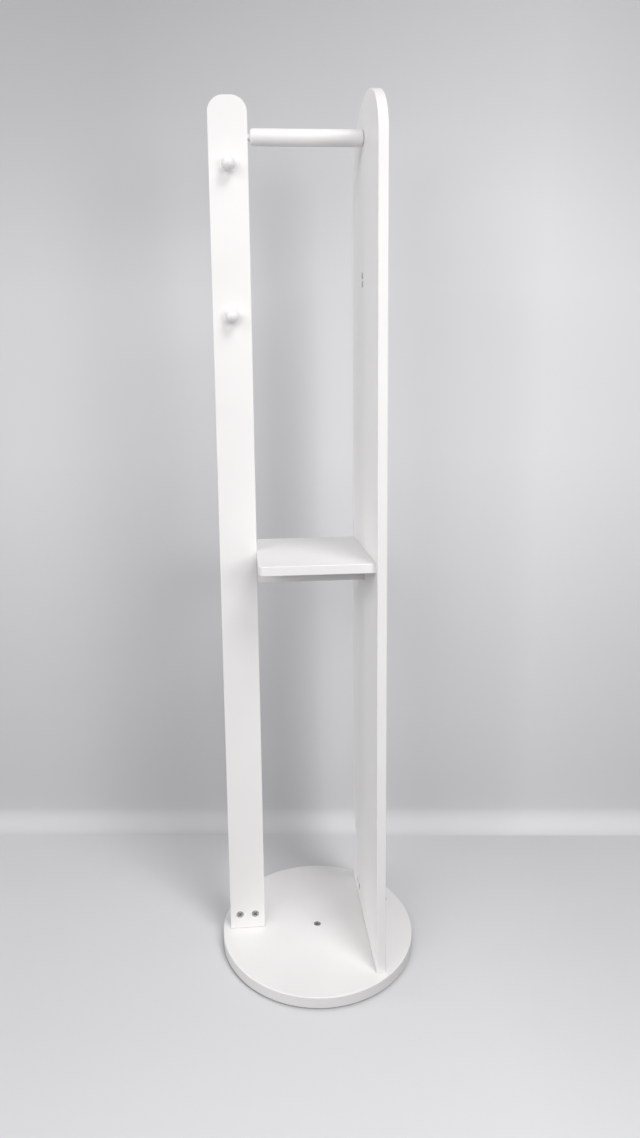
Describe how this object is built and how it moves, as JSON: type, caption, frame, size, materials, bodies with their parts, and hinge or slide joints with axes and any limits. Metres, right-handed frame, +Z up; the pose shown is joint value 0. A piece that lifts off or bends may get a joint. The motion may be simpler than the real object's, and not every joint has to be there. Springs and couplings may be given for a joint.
{
  "type": "revolving clothes stand",
  "caption": "Revolving clothes stand: round swivel base, narrow upright with ball knobs, wide arched board, hanging rail near the top and a shelf at mid height.",
  "frame": {"origin": "on the floor, on the vertical axis that the stand turns about, which is the middle of the base disc", "axes": "+Z up; +X from the hook upright to the wide board; -Y to the front, the side that the knobs are on"},
  "size_m": [0.4, 0.4, 1.685],
  "materials": {
    "white_paint": "satin white paint on board and turned wood",
    "zinc_steel": "zinc plated",
    "plywood": "bare, sanded",
    "beech": "bare",
    "rubber": "matte",
    "nylon": "natural"
  },
  "bodies": {
    "ground": {"foot_1": "rubber", "foot_2": "rubber", "foot_3": "rubber", "foot_4": "rubber", "foot_5": "rubber", "foot_6": "rubber", "ground_plate": "plywood", "lower_race": "zinc_steel", "lower_race_screw_1": "zinc_steel", "lower_race_screw_2": "zinc_steel", "lower_race_screw_3": "zinc_steel"},
    "cage": {"ball_cage": "zinc_steel"},
    "stand": {"base_disc": "white_paint", "hanging_rail": "white_paint", "hook_upright": "white_paint", "knob_lower": "white_paint", "knob_lower_screw": "zinc_steel", "knob_upper": "white_paint", "knob_upper_screw": "zinc_steel", "pivot_bolt": "zinc_steel", "pivot_nut": "zinc_steel", "pivot_washer": "nylon", "rail_screw": "zinc_steel", "shelf": "white_paint", "shelf_screw_front": "zinc_steel", "shelf_screw_rear": "zinc_steel", "stretcher": "white_paint", "stretcher_dowel_1": "beech", "stretcher_dowel_2": "beech", "stretcher_end_screw": "zinc_steel", "stretcher_screw_1": "zinc_steel", "stretcher_screw_2": "zinc_steel", "upper_race": "zinc_steel", "upper_race_screw_1": "zinc_steel", "upper_race_screw_2": "zinc_steel", "upper_race_screw_3": "zinc_steel", "upright_angle": "zinc_steel", "upright_angle_screw_1": "zinc_steel", "upright_angle_screw_2": "zinc_steel", "upright_bolt_1": "zinc_steel", "upright_bolt_2": "zinc_steel", "wide_angle": "zinc_steel", "wide_angle_screw_1": "zinc_steel", "wide_angle_screw_2": "zinc_steel", "wide_board": "white_paint", "wide_bolt_1": "zinc_steel", "wide_bolt_2": "zinc_steel", "wide_face_screw_lower": "zinc_steel", "wide_face_screw_upper": "zinc_steel", "wide_foot_screw": "zinc_steel"}
  },
  "joints": [
    {"name": "swivel", "type": "hinge", "parent": "ground", "child": "stand", "pos_m": [0, 0, 0.0145], "axis": [0, 0, 1], "continuous": true},
    {"name": "cage_roll", "type": "hinge", "parent": "ground", "child": "cage", "pos_m": [0, 0, 0.0145], "axis": [0, 0, 1], "continuous": true}
  ],
  "couplings": [
    {"joint": "cage_roll", "follows": "swivel", "ratio": 0.5}
  ]
}
